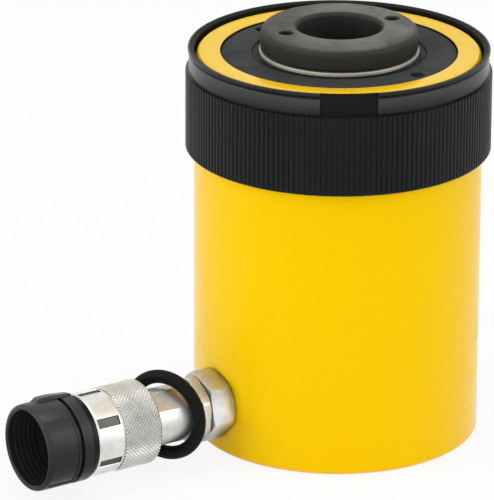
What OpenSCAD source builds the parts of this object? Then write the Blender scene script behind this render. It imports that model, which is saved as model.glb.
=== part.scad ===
// Hollow plunger hydraulic cylinder, spring return, with a screw-together coupler on its oil port.
// The origin is the centre of the base's bottom face, +Z is the way the plunger comes out, and the
// coupler points along -X. All sizes are in millimetres.

/* [Body] */
// Diameter of the hole that goes right through the cylinder
hole_d = 33.3; // [30:0.1:34]
// Room between the rod and the bore, for the return spring
spring_room = 12.7; // [11:0.1:15]
// Wall of the body round the bore
body_wall = 12.7; // [10:0.1:16]
// Thickness of the base under the bore
base_t = 18; // [16:0.5:24]
// Bevel round the bottom of the body
base_bevel = 1.2; // [0.5:0.1:2.5]
// Bevel round the top of the body
top_bevel = 1.1; // [0.5:0.1:1.5]

/* [Base holes] */
// How far the middle of a tapped hole lies inside the body's outside
base_hole_inset = 11.05; // [9:0.05:13]
// Diameter of a tapped hole
base_hole_d = 7.94; // [6:0.01:9]
// Depth of a tapped hole
base_hole_depth = 13.5; // [8:0.5:14]

/* [Collar] */
// How far the collar thread runs down from the body's top face
collar_len = 39; // [30:0.5:42]
// Depth by which the collar is turned down from the body
collar_step = 0.15; // [0.05:0.05:0.4]

/* [Thread protector] */
// How far the ribs stand out from the body
protector_wall = 3.55; // [3:0.05:6]
// How far the protector reaches below the collar thread
protector_skirt = 1; // [0.5:0.1:3]
// How far the rim stands above the body's top face
protector_rise = 1.7; // [0.5:0.1:3]
// Height of the smooth part over the ribs
band_h = 8.8; // [7:0.1:12]
// How far the smooth band is set in from the ribs
band_step = 1.1; // [0.9:0.05:1.3]
// How much further the band leans in towards the rim
band_draft = 0.3; // [0:0.05:0.5]
// Height of the bead round the rim
rim_h = 1.8; // [1.6:0.1:3]
// How far the bead is set in from the ribs
rim_step = 0.6; // [0.3:0.05:0.8]
// Rounding of the rim
rim_round = 0.8; // [0.2:0.05:1]
// Number of ribs round the flank
rib_count = 180; // [60:1:200]
// Depth of a rib
rib_depth = 0.6; // [0.3:0.05:0.8]
// Width of the recess in the smooth band
notch_w = 22; // [10:0.5:30]
// Depth of the recess under the smooth band
notch_depth = 0.6; // [0.2:0.05:0.8]

/* [Plunger] */
// Wall of the plunger's rod, from the centre tube out
rod_wall = 9.525; // [8:0.025:11]
// How far the piston's foot is relieved above the base
foot_h = 6.5; // [6:0.1:8]
// Height of the piston's crown above its wear rings
crown_h = 3.2; // [2:0.1:8]
// How far the retracted rod stands above the body
rod_rise = 0.8; // [0.4:0.1:4]
// Travel of the plunger
stroke = 64; // [50:1:100]

/* [Saddle] */
// How far the saddle's edge lies inside the rod's
saddle_step = 0.55; // [0:0.05:2]
// Height of the saddle above the rod
saddle_h = 9.5; // [7:0.1:14]
// Bevel round the top of the saddle
saddle_bevel = 2; // [0.5:0.1:3]
// Bevel round the mouth of the saddle's hole
saddle_hole_bevel = 1.4; // [0.5:0.1:2]
// Wall of the rod round the saddle's thread
socket_wall = 5.75; // [5:0.05:7]
// Length of the saddle's threaded spigot
spigot_h = 9.6; // [6:0.1:12]
// Diameter of a spanner hole in the saddle
saddle_pin_hole_d = 6; // [4:0.1:7]
// How far the middle of a spanner hole lies inside the saddle's edge
saddle_pin_inset = 8; // [6:0.1:9]

/* [Centre tube] */
// Wall of the centre tube
tube_wall = 5.575; // [4.6:0.025:7]
// Height of the shoulder in the base that the tube stands on
tube_seat_z = 6; // [4:0.5:7]

/* [Gland nut] */
// How far the gland nut's thread lies outside the bore
gland_step = 2.3; // [1.5:0.1:4]
// Height of the gland nut
gland_h = 17.4; // [16:0.1:20]
// How far the gland nut's face lies below the body's top face
gland_sink = 0.6; // [0:0.1:1]
// Height of the bearing bush in the gland nut
bush_h = 9; // [7:0.1:10]
// Height of the wiper's groove
wiper_h = 4.5; // [3:0.1:5]
// Wall of the bush and of the wiper
gland_ring_wall = 2.5; // [2:0.1:3]
// Diameter of a spanner hole in the gland nut
gland_pin_hole_d = 6; // [4:0.1:7]
// How far the middle of a spanner hole lies inside the gland nut's edge
gland_pin_inset = 5.75; // [4:0.05:7]

/* [Seals] */
// Height of a cup seal
cup_h = 5.6; // [4:0.1:6.6]
// Height of a backup ring
backup_h = 2; // [1:0.1:2.4]
// Height of a wear ring
wear_h = 3.8; // [2:0.1:4.6]
// Depth of a cup seal's groove
cup_depth = 4.9; // [4:0.1:5.2]
// Depth of a wear ring's groove
wear_depth = 2.2; // [1.5:0.1:2.6]
// Section of the O-ring under the centre tube
tube_seal_w = 2.4; // [1.5:0.1:2.8]

/* [Return spring] */
// Diameter of the spring's wire
spring_wire = 6.5; // [4:0.1:8]
// Number of turns in the spring
spring_turns = 4.5; // [3:0.5:6]
// Height left between the pressed spring and the gland nut at full stroke
spring_spare = 3.75; // [1:0.25:12]

/* [Port and adapter] */
// Height of the oil port above the base's inner face
port_rise = 3; // [2.3:0.1:3.5]
// Diameter of the port's thread
port_d = 15.2; // [12:0.1:18]
// Metal left between the port's thread and the bore
port_floor = 1.8; // [1:0.1:4]
// Width across the flats of the adapter's hexagon
adapter_af = 25.4; // [22:0.1:30]
// Length of the adapter's hexagon
adapter_len = 10.8; // [9:0.1:14]

/* [Coupler] */
// How far the flats of the coupler body's hexagon stand out from its neck
coupler_hex_step = 0.8; // [0.5:0.1:2]
// Length of the coupler body's hexagon
coupler_hex_len = 4.5; // [3:0.1:6]
// Diameter of the coupler body's nose
nose_d = 21; // [18:0.1:25]
// Length of the coupler body's nose in front of the neck
nose_len = 13; // [11:0.1:15]
// How far the neck stands out from the nose
neck_step = 1; // [0.8:0.05:1.5]
// Depth of the two flats on the neck
flat_depth = 1; // [0.5:0.05:1.2]

/* [Sleeve] */
// Room between the neck and the sleeve's threaded mouth
mouth_gap = 2.9; // [2.4:0.1:3.5]
// Wall of the sleeve outside its thread
sleeve_wall = 2.35; // [1.9:0.05:3]
// Length of the sleeve
sleeve_len = 29.5; // [25:0.1:35]
// Length of the sleeve's knurled band
knurl_len = 17.5; // [12:0.1:20]
// Number of slots round the smooth band
slot_count = 6; // [2:1:8]
// Width of a slot
slot_w = 4; // [2:0.1:6]
// Depth of a slot
slot_depth = 0.6; // [0.2:0.1:1]

/* [Coupler valve] */
// Travel of the valve poppet
valve_travel = 4; // [2:0.5:5]
// Wall of the nose round the valve chamber
chamber_wall = 3.5; // [3:0.1:4.5]
// Diameter of the valve's stem
stem_d = 4; // [3:0.1:4.8]
// Diameter of the valve spring's wire
valve_wire = 1; // [0.6:0.1:1.2]
// Number of turns in the valve spring
valve_turns = 7; // [5:0.5:8]
// Length left in the valve spring when the valve is pushed in
valve_spare = 9; // [5:0.5:11]

/* [Dust cap] */
// How far the dust cap stands out from the sleeve
cap_step = 0.65; // [0.2:0.05:3]
// Length of the dust cap in front of the sleeve
cap_len = 23; // [19:0.1:28]
// Length of the collar between the sleeve and the groove
cap_collar_len = 7.4; // [5:0.1:9]
// Wall of the cap's open mouth
cap_wall = 2.3; // [1.8:0.1:4]
// Depth of the cap's open mouth
cap_depth = 17; // [12:0.5:20]
// Length of the cap's plug inside the sleeve
plug_len = 14; // [10:0.5:16]
// Angle that each of the cap's two grip panels covers
panel_angle = 100; // [60:1:140]
// Depth of a grip panel
panel_depth = 0.4; // [0.2:0.05:0.8]
// Width of the lanyard loop on the cap
loop_w = 5; // [3:0.1:8]
// How far the lanyard loop stands out from the cap
loop_rise = 1.5; // [1:0.1:3]

/* [Keeper ring] */
// Section of the cap's loose keeper ring
keeper_w = 5.1; // [4:0.1:6]
// Gap between the leaning ring and the neck
keeper_gap = 0.36; // [0.2:0.02:1]
// Room left for the leaning ring between the hexagon and the sleeve
keeper_play = 2.16; // [1:0.02:8]
// Angle by which the keeper ring leans on the neck
keeper_lean = 25; // [0:1:30]

/* [Hidden] */

// Running clearance on each side of a sliding fit
run = 0.05;
// Clearance on each side between threads and between a seal and its groove
loose = 0.1;
// Overshoot of a cut past the face that it opens
eps = 0.5;
// Bevel on small turned edges, and on larger ones
fine_bevel = 0.6;
bevel = 1;

// Angles about +Z, from +X, of the spanner holes and of the notch
saddle_pin_angle = -9;
gland_pin_angle = -77;
notch_angle = -121;
// Angles about the coupler's axis, from its top towards +Y, of a corner of each hexagon, of a
// flat on the neck, of the sleeve's first slot, and of the cap's panel and lanyard loop
adapter_turn = 14;
coupler_turn = -4;
half_flat = 30;
flat_turn = coupler_turn - half_flat;
first_slot_angle = 4;
panel_turn = 92;
loop_turn = 12;
// Depth of a spanner hole
pin_hole_depth = 6;

// The body is as high as its stack of pieces with the plunger in
piston_land = 1.7;
piston_h = foot_h + 2 * piston_land + cup_h + backup_h + wear_h + 5 * loose + crown_h;
body_h = base_t + piston_h + stroke + spring_turns * spring_wire + spring_spare
    + gland_h + gland_sink;

// Radii from the hole outwards
hole_r = hole_d / 2;
tube_r = hole_r + tube_wall;
rod_r = tube_r + rod_wall;
bore_r = rod_r + spring_room;
body_r = bore_r + body_wall;
collar_r = body_r - collar_step;

rod_bore_r = tube_r + run;
piston_r = bore_r - run;
foot_relief = 4.5;
foot_r = bore_r - foot_relief;
crown_z = base_t + piston_h;
rod_top = body_h + rod_rise;

// The seals' grooves share the height of the piston above its relieved foot
groove_z = base_t + foot_h + piston_land;
groove_top = groove_z + cup_h + backup_h + 3 * loose;
wear_groove_z = groove_top + piston_land;
wear_groove_top = wear_groove_z + wear_h + 2 * loose;

socket_z = rod_top - spigot_h - 4 * loose;
tube_top = socket_z - 3 * loose;
tube_seal_rise = 3.5;
tube_seal_z = tube_seat_z + tube_seal_rise;

gland_r = bore_r + gland_step;
gland_top = body_h - gland_sink;
gland_z = gland_top - gland_h;
gland_ring_r = rod_r + run + gland_ring_wall;
wiper_r = gland_ring_r + 2 * loose;

protector_top = body_h + protector_rise;
protector_z = body_h - collar_len - protector_skirt;
protector_r = body_r + protector_wall;
protector_bore_r = body_r + loose;
rib_end = 0.7;
rib_z = protector_z + rib_end;
rib_top = protector_top - band_h - rib_end;

// Radii of the saddle and of its spigot
saddle_r = rod_r - saddle_step;
spigot_r = rod_r - socket_wall;

// Radii round the coupler's axis, from the nose outwards
nose_r = nose_d / 2;
neck_r = nose_r + neck_step;
mouth_r = neck_r + mouth_gap;
sleeve_r = mouth_r + sleeve_wall;
cap_r = sleeve_r + cap_step;
cap_mouth_r = cap_r - cap_wall;
thread_r = neck_r - 2.5;
coupler_af = 2 * (neck_r + coupler_hex_step);

// The keeper ring leans until it nearly touches the neck, and the neck has room for it
keeper_r = (neck_r + keeper_w / 2 + keeper_gap) / cos(keeper_lean);
keeper_reach = keeper_r * sin(keeper_lean) + keeper_w / 2;
neck_len = 2 * keeper_reach + loose + keeper_play;

// Stations along the coupler, measured from the cylinder's axis
port_z = base_t + port_rise;
port_r = port_d / 2;
passage_r = 4.5;
oil_way_r = 2.2;
spot_depth = 0.5;
spot_u = body_r - spot_depth;
port_u = bore_r + port_floor;
stem_u = port_u + 5 * loose;
adapter_u = spot_u + loose;
adapter_front = adapter_u + adapter_len;
washer_t = 0.7;
hex_u = adapter_front + washer_t;
neck_u = hex_u + coupler_hex_len;
keeper_u = neck_u + keeper_reach + loose;
sleeve_u = neck_u + neck_len;
sleeve_front = sleeve_u + sleeve_len;
lip_len = 3.7;
snap_t = 1.4;
snap_depth = 1.2;
snap_u = sleeve_u + lip_len + 2 * loose;
nose_u = snap_u + snap_t + fine_bevel;
nose_front = nose_u + nose_len;
nose_seal_w = 2.2;
nose_seal_back = 6.4;
nose_seal_u = nose_front - nose_seal_back;
nose_seal_r = nose_r + 0.5 - nose_seal_w / 2 + loose;
thread_len = 8.8;

// The valve's seat, head and guide, from the nose inwards
chamber_r = nose_r - chamber_wall;
seat_r = chamber_r - 2.4;
seat_len = 3;
seat_u = nose_front - 2 * seat_len;
head_r = chamber_r - 0.6;
head_len = 3.5;
head_u = seat_u - head_len;
guide_len = 3.5;
guide_front = head_u - valve_travel - valve_turns * valve_wire - valve_spare;
guide_u = guide_front - guide_len;

cap_front = sleeve_front + cap_len;
cap_groove_w = 1.2;
cap_groove_depth = 0.9;

steel = [0.72, 0.73, 0.72];
yellow = [1, 0.81, 0.03];
black_plastic = [0.15, 0.15, 0.15];
black_rubber = [0.06, 0.06, 0.06];
bronze = [0.72, 0.52, 0.3];

$fn = 96;

// A turned solid from the points of its half section
module turned(points) {
    rotate_extrude() polygon(points);
}

// A plain ring between two radii
module ring(r_in, r_out, z0, z1) {
    turned([[r_in, z0], [r_out, z0], [r_out, z1], [r_in, z1]]);
}

// A ring of round section, lying flat
module round_ring(middle_r, section) {
    rotate_extrude() translate([middle_r, 0]) circle(d = section, $fn = 32);
}

// Puts what is turned about Z on the coupler's axis, with its start at the cylinder's axis
module along_port() {
    translate([0, 0, port_z]) rotate([0, -90, 0]) children();
}

// A hexagonal bar with a corner at the given angle, both ends beveled by a turned envelope
module hex_bar(width, turn, u0, u1, bevel0, bevel1) {
    corner_r = width / 2 / cos(half_flat);
    reach = corner_r + loose;
    intersection() {
        translate([0, 0, u0]) rotate([0, 0, turn])
            cylinder(h = u1 - u0, r = corner_r, $fn = 6);
        turned([[0, u0], [reach - bevel0, u0], [reach, u0 + bevel0 * 0.8],
                [reach, u1 - bevel1 * 0.6], [reach - bevel1, u1], [0, u1]]);
    }
}

// A coil of round wire between two heights, with three quarters of a closed turn at each end
module coil(coil_r, wire, z0, z1, turns, per_turn, sides) {
    closed = 0.75;
    rise = (z1 - z0 - wire * (1 + 2 * closed)) / (turns - 2 * closed);
    function height(t) = z0 + wire / 2
        + min(t, closed) * wire
        + max(0, min(t, turns - closed) - closed) * rise
        + max(0, t - (turns - closed)) * wire;
    rings = ceil(turns * per_turn);
    points = [for (i = [0 : rings], j = [0 : sides - 1])
        let (t = i * turns / rings, a = 360 * t, b = 360 * j / sides,
             r = coil_r + wire / 2 * cos(b))
        [r * cos(a), r * sin(a), height(t) + wire / 2 * sin(b)]];
    skin = [for (i = [0 : rings - 1], j = [0 : sides - 1])
        let (k = (j + 1) % sides, p = i * sides, q = p + sides)
        [p + j, q + j, q + k, p + k]];
    start = [for (j = [0 : sides - 1]) j];
    end = [for (j = [sides - 1 : -1 : 0]) rings * sides + j];
    polyhedron(points, concat(skin, [start], [end]), convexity = 10);
}

// Body with its base, bore, collar, oil port and tapped base holes
module cylinder_body() {
    color(yellow) difference() {
        turned([[hole_r, 0], [body_r - base_bevel, 0], [body_r, base_bevel],
                [body_r, body_h - collar_len], [collar_r, body_h - collar_len],
                [collar_r, body_h - top_bevel], [collar_r - top_bevel, body_h],
                [gland_r + loose, body_h], [gland_r + loose, gland_z], [bore_r, gland_z],
                [bore_r, base_t], [tube_r + run, base_t], [tube_r + run, tube_seat_z],
                [hole_r, tube_seat_z]]);
        along_port() {
            translate([0, 0, foot_r]) cylinder(h = port_u - foot_r + eps, r = oil_way_r);
            translate([0, 0, port_u]) cylinder(h = spot_u - port_u + eps, r = port_r);
            translate([0, 0, spot_u]) cylinder(h = spot_depth + eps, r = adapter_af / 2 + bevel);
        }
        for (side = [-1, 1])
            translate([0, side * (body_r - base_hole_inset), -eps])
                cylinder(h = base_hole_depth + eps, d = base_hole_d);
    }
}

// Outline of the ribbed flank, one triangular rib a step
module rib_outline() {
    step = 360 / rib_count;
    polygon([for (i = [0 : rib_count - 1], half = [0, 1])
        let (r = protector_r - half * rib_depth, a = (i + half / 2) * step)
        [r * cos(a), r * sin(a)]]);
}

// Moulded ring that screws over the collar thread
module thread_protector() {
    band_z = protector_top - band_h;
    band_r = protector_r - band_step;
    neck_r = band_r - band_draft;
    neck_top = protector_top - rim_h;
    rim_r = protector_r - rim_step;
    core_r = min(protector_r - rib_depth, band_r) - 0.3;
    notch_span = 2 * asin(notch_w / 2 / neck_r);
    rim_steps = 4;
    rim = [for (k = [0 : rim_steps])
        let (a = 90 * k / rim_steps)
        [rim_r - rim_round * (1 - cos(a)), protector_top - rim_round * (1 - sin(a))]];
    color(black_plastic) difference() {
        union() {
            turned(concat([[protector_bore_r, protector_z], [core_r, protector_z],
                           [protector_r - rib_depth / 2, rib_z], [core_r, rib_z], [core_r, band_z],
                           [band_r, band_z], [neck_r, neck_top],
                           [rim_r, neck_top + (rim_r - neck_r) / 2]], rim,
                          [[protector_bore_r, protector_top - fine_bevel]]));
            translate([0, 0, rib_z]) linear_extrude(rib_top - rib_z) difference() {
                rib_outline();
                circle(r = core_r - eps);
            }
        }
        rotate([0, 0, notch_angle - notch_span / 2]) rotate_extrude(angle = notch_span)
            translate([neck_r - notch_depth, band_z - rib_end / 2])
                square([band_step * 4, band_h + rib_end]);
    }
}

// Tube that lines the hole and seals the plunger on the inside
module center_tube() {
    groove_r = tube_r - tube_seal_w + loose;
    z1 = tube_seal_z + tube_seal_w + 2 * loose;
    color(steel) turned([[hole_r, tube_seat_z], [tube_r, tube_seat_z], [tube_r, tube_seal_z],
        [groove_r, tube_seal_z], [groove_r, z1], [tube_r, z1], [tube_r, tube_top - bevel],
        [tube_r - bevel, tube_top], [hole_r, tube_top]]);
}

// O-ring between the foot of the centre tube and the base
module tube_seal() {
    section = tube_seal_w - 2 * loose;
    color(black_rubber) translate([0, 0, tube_seal_z + loose + tube_seal_w / 2])
        round_ring(tube_r - section / 2, section);
}

// Hollow rod and piston in one piece, with its seal grooves and the saddle's socket
module plunger() {
    color([0.62, 0.63, 0.64]) difference() {
        turned([[rod_bore_r, base_t], [foot_r, base_t], [foot_r, base_t + foot_h],
                [piston_r, base_t + foot_h], [piston_r, crown_z - bevel],
                [piston_r - bevel, crown_z], [rod_r, crown_z], [rod_r, rod_top - fine_bevel],
                [rod_r - fine_bevel, rod_top], [spigot_r, rod_top],
                [spigot_r, socket_z], [rod_bore_r, socket_z]]);
        ring(piston_r - cup_depth, piston_r + eps, groove_z, groove_top);
        ring(piston_r - wear_depth, piston_r + eps, wear_groove_z, wear_groove_top);
        ring(rod_bore_r - eps, rod_bore_r + cup_depth, groove_z, groove_top);
        ring(rod_bore_r - eps, rod_bore_r + wear_depth, wear_groove_z, wear_groove_top);
    }
}

// Hardened ring that screws into the rod and takes the load
module saddle() {
    r = saddle_r;
    top = rod_top + saddle_h;
    bottom = rod_top - spigot_h;
    thread_edge = spigot_r - loose;
    color([0.29, 0.28, 0.26]) difference() {
        turned([[hole_r, bottom], [thread_edge, bottom], [thread_edge, rod_top],
                [r - bevel, rod_top], [r, rod_top + bevel], [r, top - saddle_bevel],
                [r - saddle_bevel, top], [hole_r + saddle_hole_bevel, top],
                [hole_r, top - saddle_hole_bevel]]);
        for (side = [0, 180])
            rotate([0, 0, saddle_pin_angle + side])
                translate([r - saddle_pin_inset, 0, top - pin_hole_depth])
                    cylinder(h = pin_hole_depth + eps, d = saddle_pin_hole_d);
    }
}

// Stop ring that closes the bore and guides the rod
module gland_nut() {
    inner_r = rod_r + 2 * loose;
    color([0.27, 0.29, 0.32]) difference() {
        turned([[gland_ring_r, gland_z], [gland_r, gland_z], [gland_r, gland_top - fine_bevel],
                [gland_r - fine_bevel, gland_top], [wiper_r, gland_top],
                [wiper_r, gland_top - wiper_h], [inner_r, gland_top - wiper_h],
                [inner_r, gland_z + bush_h], [gland_ring_r, gland_z + bush_h]]);
        for (side = [0, 180])
            rotate([0, 0, gland_pin_angle + side])
                translate([gland_r - gland_pin_inset, 0, gland_top - pin_hole_depth])
                    cylinder(h = pin_hole_depth + eps, d = gland_pin_hole_d);
    }
}

// Wiper lip in the top of the gland nut
module rod_wiper() {
    z0 = gland_top - wiper_h + loose;
    face = gland_top - 4 * loose;
    r0 = rod_r + run;
    lip = 0.7;
    color(black_rubber) turned([[r0 + lip / 2, z0], [wiper_r - loose, z0], [wiper_r - loose, face],
        [r0 + 2 * lip, face], [r0 + lip, face + bevel], [r0, face + bevel],
        [r0 + lip / 2, face - bevel]]);
}

// Bronze bush that the rod slides in
module gland_bush() {
    color(bronze) ring(rod_r + run, gland_ring_r - run / 2, gland_z + loose, gland_z + bush_h);
}

// Spring that brings the plunger back
module return_spring() {
    color([0.35, 0.35, 0.36])
        coil((rod_r + bore_r) / 2, spring_wire, crown_z + loose, gland_z - loose,
             spring_turns, 24, 8);
}

// A cup seal between two radii, open at its foot where the oil presses
module cup(r_in, r_out) {
    z0 = groove_z + loose;
    middle = (r_in + r_out) / 2;
    lip = bevel;
    root = z0 + cup_h / 2;
    difference() {
        ring(r_in, r_out, z0, z0 + cup_h);
        turned([[r_in + lip, z0 - eps], [r_out - lip, z0 - eps],
                [middle + lip / 2, root], [middle - lip / 2, root]]);
    }
}

// Cup seal between the piston and the bore
module piston_outer_cup() {
    color(black_rubber) cup(piston_r - cup_depth + loose, piston_r + run / 2);
}

// Ring that backs the outer cup seal
module piston_outer_backup() {
    z0 = groove_z + cup_h + 2 * loose;
    color([0.9, 0.88, 0.8])
        ring(piston_r - cup_depth + loose, piston_r + run / 2, z0, z0 + backup_h);
}

// Wear ring between the piston and the bore
module piston_outer_wear_ring() {
    z0 = wear_groove_z + loose;
    color(bronze) ring(piston_r - wear_depth + loose, piston_r + run / 2, z0, z0 + wear_h);
}

// Cup seal between the piston and the centre tube
module piston_inner_cup() {
    color(black_rubber) cup(rod_bore_r - run / 2, rod_bore_r + cup_depth - loose);
}

// Ring that backs the inner cup seal
module piston_inner_backup() {
    z0 = groove_z + cup_h + 2 * loose;
    color([0.9, 0.88, 0.8])
        ring(rod_bore_r - run / 2, rod_bore_r + cup_depth - loose, z0, z0 + backup_h);
}

// Wear ring between the piston and the centre tube
module piston_inner_wear_ring() {
    z0 = wear_groove_z + loose;
    color(bronze) ring(rod_bore_r - run / 2, rod_bore_r + wear_depth - loose, z0, z0 + wear_h);
}

// Hexagonal adapter between the port and the coupler
module port_adapter() {
    socket_u = adapter_front - thread_len + washer_t - loose;
    color(steel) along_port() difference() {
        union() {
            hex_bar(adapter_af, adapter_turn, adapter_u, adapter_front,
                    2.6 * bevel, 1.2 * bevel);
            translate([0, 0, stem_u]) cylinder(h = adapter_u - stem_u + eps, r = port_r - run);
        }
        translate([0, 0, stem_u - eps])
            cylinder(h = adapter_front - stem_u + eps, r = passage_r);
        translate([0, 0, socket_u]) cylinder(h = thread_len + eps, r = thread_r + run);
    }
}

// Sealing washer between the adapter and the coupler body
module coupler_washer() {
    color([0.45, 0.46, 0.45]) along_port()
        ring(thread_r + loose, neck_r - loose, adapter_front, hex_u);
}

// Coupler half with its hexagon, neck, nose and valve chamber
module coupler_body() {
    start = hex_u - thread_len;
    flat_len = neck_len - 4 * bevel;
    color(steel) along_port() difference() {
        union() {
            hex_bar(coupler_af, coupler_turn, hex_u, neck_u, 1.2 * bevel, 1.4 * bevel);
            turned([[0, start], [thread_r - bevel, start], [thread_r, start + bevel],
                    [thread_r, hex_u], [neck_r, hex_u], [neck_r, nose_u - fine_bevel],
                    [nose_r, nose_u], [nose_r, nose_front - bevel],
                    [nose_r - bevel, nose_front], [0, nose_front]]);
        }
        turned([[0, start - eps], [passage_r, start - eps], [passage_r, guide_u],
                [chamber_r, guide_u], [chamber_r, seat_u], [seat_r, seat_u + seat_len],
                [seat_r, nose_front + eps], [0, nose_front + eps]]);
        ring(neck_r - snap_depth, neck_r + eps, snap_u - loose, snap_u + snap_t + loose);
        ring(nose_seal_r - nose_seal_w / 2 - loose, nose_r + eps,
             nose_seal_u, nose_seal_u + nose_seal_w + 2 * loose);
        for (side = [0, 180])
            rotate([0, 0, flat_turn + side])
                translate([neck_r - flat_depth, -neck_r, neck_u + 2 * bevel])
                    cube([neck_r, 2 * neck_r, flat_len]);
    }
}

// O-ring on the coupler body's nose
module nose_seal() {
    color(black_rubber) along_port()
        translate([0, 0, nose_seal_u + loose + nose_seal_w / 2])
            round_ring(nose_seal_r, nose_seal_w);
}

// Knurled sleeve with a threaded mouth, free to turn on the neck
module coupler_sleeve() {
    band_u = sleeve_u + knurl_len;
    band_r = sleeve_r - loose;
    line = 3 * loose;
    slot_u = band_u + bevel;
    color(steel) along_port() difference() {
        turned([[neck_r + run, sleeve_u], [sleeve_r - bevel, sleeve_u],
                [sleeve_r, sleeve_u + bevel], [sleeve_r, band_u - line], [band_r - line, band_u],
                [band_r, band_u + line], [band_r, sleeve_front - fine_bevel],
                [band_r - fine_bevel, sleeve_front], [mouth_r + fine_bevel, sleeve_front],
                [mouth_r, sleeve_front - fine_bevel], [mouth_r, sleeve_u + lip_len],
                [neck_r + run, sleeve_u + lip_len]]);
        for (k = [0 : slot_count - 1])
            rotate([0, 0, first_slot_angle + 360 * k / slot_count])
                translate([band_r - slot_depth, -slot_w / 2, slot_u])
                    cube([slot_depth + eps, slot_w, sleeve_front - slot_u - bevel]);
    }
}

// Snap ring that keeps the sleeve on the neck
module sleeve_retaining_ring() {
    color([0.3, 0.3, 0.3]) along_port()
        ring(neck_r - snap_depth + loose, mouth_r - fine_bevel, snap_u, snap_u + snap_t);
}

// Spring-loaded poppet that closes the coupler's nose
module valve_poppet() {
    stem_r = stem_d / 2;
    stem_u = guide_u - bevel;
    cone_u = seat_u - 2 * loose;
    cone_r = seat_r - 3 * loose;
    cone_front = seat_u + seat_len - 4 * loose;
    pin_r = cone_r - 1.7;
    tip_u = nose_front - fine_bevel;
    color([0.75, 0.73, 0.65]) along_port()
        turned([[0, stem_u], [stem_r, stem_u], [stem_r, head_u], [head_r, head_u],
                [head_r, cone_u], [cone_r, cone_front], [pin_r, cone_front],
                [pin_r, tip_u - fine_bevel], [pin_r - fine_bevel, tip_u], [0, tip_u]]);
}

// Spring behind the poppet
module valve_spring() {
    color([0.35, 0.35, 0.36]) along_port()
        coil((stem_d / 2 + head_r) / 2, valve_wire, guide_front + loose, head_u - loose,
             valve_turns, 16, 6);
}

// Guide for the poppet's stem, with three holes for the oil
module valve_guide() {
    color([0.7, 0.7, 0.68]) along_port() difference() {
        ring(stem_d / 2 + run, chamber_r - run / 2, guide_u, guide_front);
        for (a = [0, 120, 240])
            rotate([0, 0, a]) translate([(stem_d / 2 + chamber_r) / 2, 0, guide_u - eps])
                cylinder(h = guide_len + 2 * eps, r = 1.4);
    }
}

// Moulded cap that screws into the sleeve and ends in an open mouth
module dust_cap() {
    groove_u = sleeve_front + cap_collar_len;
    plug_r = mouth_r - 2 * loose;
    groove_front = groove_u + cap_groove_w;
    groove_r = cap_r - cap_groove_depth;
    plug_bore_r = nose_r + 0.9;
    plug_u = sleeve_front - plug_len;
    web_u = nose_front + bevel;
    floor_u = cap_front - cap_depth;
    panel_u = groove_front + bevel;
    loop_u = sleeve_front + 2 * bevel;
    loop_front = cap_front - 5 * bevel;
    color(black_plastic) along_port() difference() {
        union() {
            turned([[plug_bore_r, plug_u], [plug_r - fine_bevel, plug_u],
                    [plug_r, plug_u + fine_bevel], [plug_r, sleeve_front + loose],
                    [cap_r - fine_bevel, sleeve_front + loose],
                    [cap_r, sleeve_front + loose + fine_bevel], [cap_r, groove_u],
                    [groove_r, groove_u], [groove_r, groove_front], [cap_r, groove_front],
                    [cap_r - loose, cap_front - bevel], [cap_r - bevel, cap_front],
                    [cap_mouth_r + fine_bevel, cap_front], [cap_mouth_r, cap_front - fine_bevel],
                    [cap_mouth_r, floor_u], [0, floor_u], [0, web_u], [plug_bore_r, web_u]]);
            rotate([0, 0, loop_turn])
                translate([groove_r - fine_bevel, -loop_w / 2, loop_u])
                    cube([cap_r + loop_rise - groove_r + fine_bevel, loop_w, loop_front - loop_u]);
        }
        rotate([0, 0, loop_turn])
            translate([groove_r, -loop_w, groove_u - bevel])
                cube([cap_r + loop_rise / 3 - groove_r, 2 * loop_w, cap_groove_w + 2 * bevel]);
        for (side = [0, 180])
            rotate([0, 0, panel_turn + side - panel_angle / 2])
                rotate_extrude(angle = panel_angle)
                    translate([cap_r - panel_depth, panel_u])
                        square([panel_depth + eps, cap_front - 2 * bevel - panel_u]);
    }
}

// Loose ring of the dust cap that hangs round the coupler's neck
module dust_cap_ring() {
    color(black_rubber) along_port() translate([0, 0, keeper_u])
        rotate([keeper_lean, 0, 0]) round_ring(keeper_r, keeper_w);
}

cylinder_body();
thread_protector();
center_tube();
tube_seal();
plunger();
saddle();
gland_nut();
rod_wiper();
gland_bush();
return_spring();
piston_outer_cup();
piston_outer_backup();
piston_outer_wear_ring();
piston_inner_cup();
piston_inner_backup();
piston_inner_wear_ring();
port_adapter();
coupler_washer();
coupler_body();
nose_seal();
coupler_sleeve();
sleeve_retaining_ring();
valve_poppet();
valve_spring();
valve_guide();
dust_cap();
dust_cap_ring();
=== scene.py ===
"""Looks of a hollow plunger hydraulic cylinder with a screw-together coupler."""

import math

import bmesh
import bpy
from mathutils import Matrix, Vector

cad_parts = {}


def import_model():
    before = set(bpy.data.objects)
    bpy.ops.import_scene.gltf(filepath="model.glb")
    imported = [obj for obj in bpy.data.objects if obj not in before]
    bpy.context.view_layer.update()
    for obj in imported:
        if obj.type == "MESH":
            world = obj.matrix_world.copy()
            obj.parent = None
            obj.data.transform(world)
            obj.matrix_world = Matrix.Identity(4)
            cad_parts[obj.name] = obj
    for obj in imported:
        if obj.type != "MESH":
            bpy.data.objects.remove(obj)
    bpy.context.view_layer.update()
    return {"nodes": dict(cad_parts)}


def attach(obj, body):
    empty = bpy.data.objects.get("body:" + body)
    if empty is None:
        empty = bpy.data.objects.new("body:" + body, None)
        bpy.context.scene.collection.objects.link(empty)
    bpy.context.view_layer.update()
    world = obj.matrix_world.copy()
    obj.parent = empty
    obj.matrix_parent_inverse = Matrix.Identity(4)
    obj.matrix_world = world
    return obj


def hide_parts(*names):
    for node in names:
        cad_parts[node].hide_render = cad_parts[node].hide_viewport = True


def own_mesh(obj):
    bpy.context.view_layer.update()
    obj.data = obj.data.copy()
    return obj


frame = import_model()

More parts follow.
